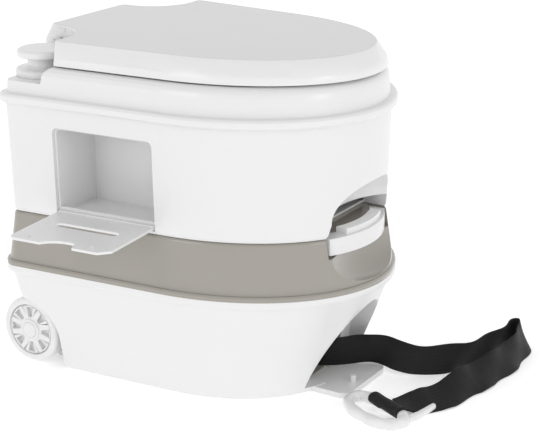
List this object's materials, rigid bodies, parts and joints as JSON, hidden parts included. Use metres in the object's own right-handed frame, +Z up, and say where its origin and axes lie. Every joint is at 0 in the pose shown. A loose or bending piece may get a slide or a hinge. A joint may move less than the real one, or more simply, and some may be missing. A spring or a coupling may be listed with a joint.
{
  "type": "portable camp toilet",
  "caption": "Two-part portable camping toilet with seat and lid, flush pump, side paper compartment, slide valve handle, wheels and a webbing pull strap.",
  "frame": {"origin": "on the floor under the middle of the housing, on the base's flat underside", "axes": "+Z up; -Y towards the rounded nose with the valve handle; +X away from the paper compartment's door"},
  "size_m": [0.4985, 0.583, 0.42],
  "materials": {
    "white_plastic": "satin",
    "taupe_plastic": "glossy",
    "inner_plastic": "satin",
    "steel": "satin",
    "seal_rubber": "matte",
    "black_webbing": "woven"
  },
  "bodies": {
    "waste_unit": {"base_shell": "white_plastic", "strap_pocket": "taupe_plastic", "strap_anchor": "inner_plastic", "waste_top": "taupe_plastic", "axle_left": "steel", "axle_right": "steel", "axle_clip_left": "steel", "axle_clip_right": "steel", "valve_guide": "inner_plastic", "valve_seal": "seal_rubber", "spout_gasket": "seal_rubber", "strap_webbing": "black_webbing", "strap_grip": "white_plastic"},
    "water_unit": {"tank_shell": "white_plastic", "deck": "white_plastic", "bowl": "white_plastic", "paper_liner": "white_plastic", "door_pins": "steel", "flush_nozzle": "white_plastic", "pump_body": "inner_plastic", "pump_collar": "white_plastic", "filler_gasket": "seal_rubber", "hinge_rod": "steel"},
    "seat": {"seat": "white_plastic", "seat_bumpers": "seal_rubber"},
    "lid": {"lid": "white_plastic"},
    "paper_door": {"paper_door": "white_plastic"},
    "pump_plunger": {"pump_knob": "white_plastic", "pump_rod": "inner_plastic", "pump_piston": "inner_plastic"},
    "filler_cap": {"filler_cap": "white_plastic"},
    "valve_slide": {"valve_blade": "inner_plastic", "valve_handle": "white_plastic", "valve_screws": "steel"},
    "wheel_left": {"wheel_left": "white_plastic", "hub_cap_left": "white_plastic"},
    "wheel_right": {"wheel_right": "white_plastic", "hub_cap_right": "white_plastic"},
    "spout_cap": {"spout_cap": "white_plastic"},
    "vent_button": {"vent_button": "white_plastic"}
  },
  "joints": [
    {"name": "water_unit_lift", "type": "slide", "parent": "waste_unit", "child": "water_unit", "axis": [0, 0, 1], "range_m": [0, 0.25]},
    {"name": "seat_hinge", "type": "hinge", "parent": "water_unit", "child": "seat", "pos_m": [0, 0.196, 0.403], "axis": [-1, 0, 0], "range_deg": [0, 95]},
    {"name": "lid_hinge", "type": "hinge", "parent": "seat", "child": "lid", "pos_m": [0, 0.196, 0.403], "axis": [-1, 0, 0], "range_deg": [0, 100]},
    {"name": "paper_door_hinge", "type": "hinge", "parent": "water_unit", "child": "paper_door", "pos_m": [-0.1666, 0.067, 0.2152], "axis": [-0.0796, 0.9968, 0], "range_deg": [0, 88.3]},
    {"name": "pump_stroke", "type": "slide", "parent": "water_unit", "child": "pump_plunger", "axis": [0, 0, 1], "range_m": [0, 0.038]},
    {"name": "filler_cap_turn", "type": "hinge", "parent": "water_unit", "child": "filler_cap", "pos_m": [0.13, 0.184, 0.372], "axis": [0, 0, 1], "range_deg": [0, 360]},
    {"name": "valve_pull", "type": "slide", "parent": "waste_unit", "child": "valve_slide", "axis": [0, -1, 0], "range_m": [0, 0.118]},
    {"name": "wheel_left_spin", "type": "hinge", "parent": "waste_unit", "child": "wheel_left", "pos_m": [-0.147, 0.2, 0.043], "axis": [1, 0, 0], "continuous": true},
    {"name": "wheel_right_spin", "type": "hinge", "parent": "waste_unit", "child": "wheel_right", "pos_m": [0.147, 0.2, 0.043], "axis": [1, 0, 0], "continuous": true},
    {"name": "spout_cap_turn", "type": "hinge", "parent": "waste_unit", "child": "spout_cap", "pos_m": [0.095, 0.224, 0.176], "axis": [0, 1, 0], "range_deg": [0, 360]},
    {"name": "vent_press", "type": "slide", "parent": "waste_unit", "child": "vent_button", "axis": [0, 0, -1], "range_m": [0, 0.003], "stiffness_N_per_m": 400, "springref_m": -0.001}
  ]
}
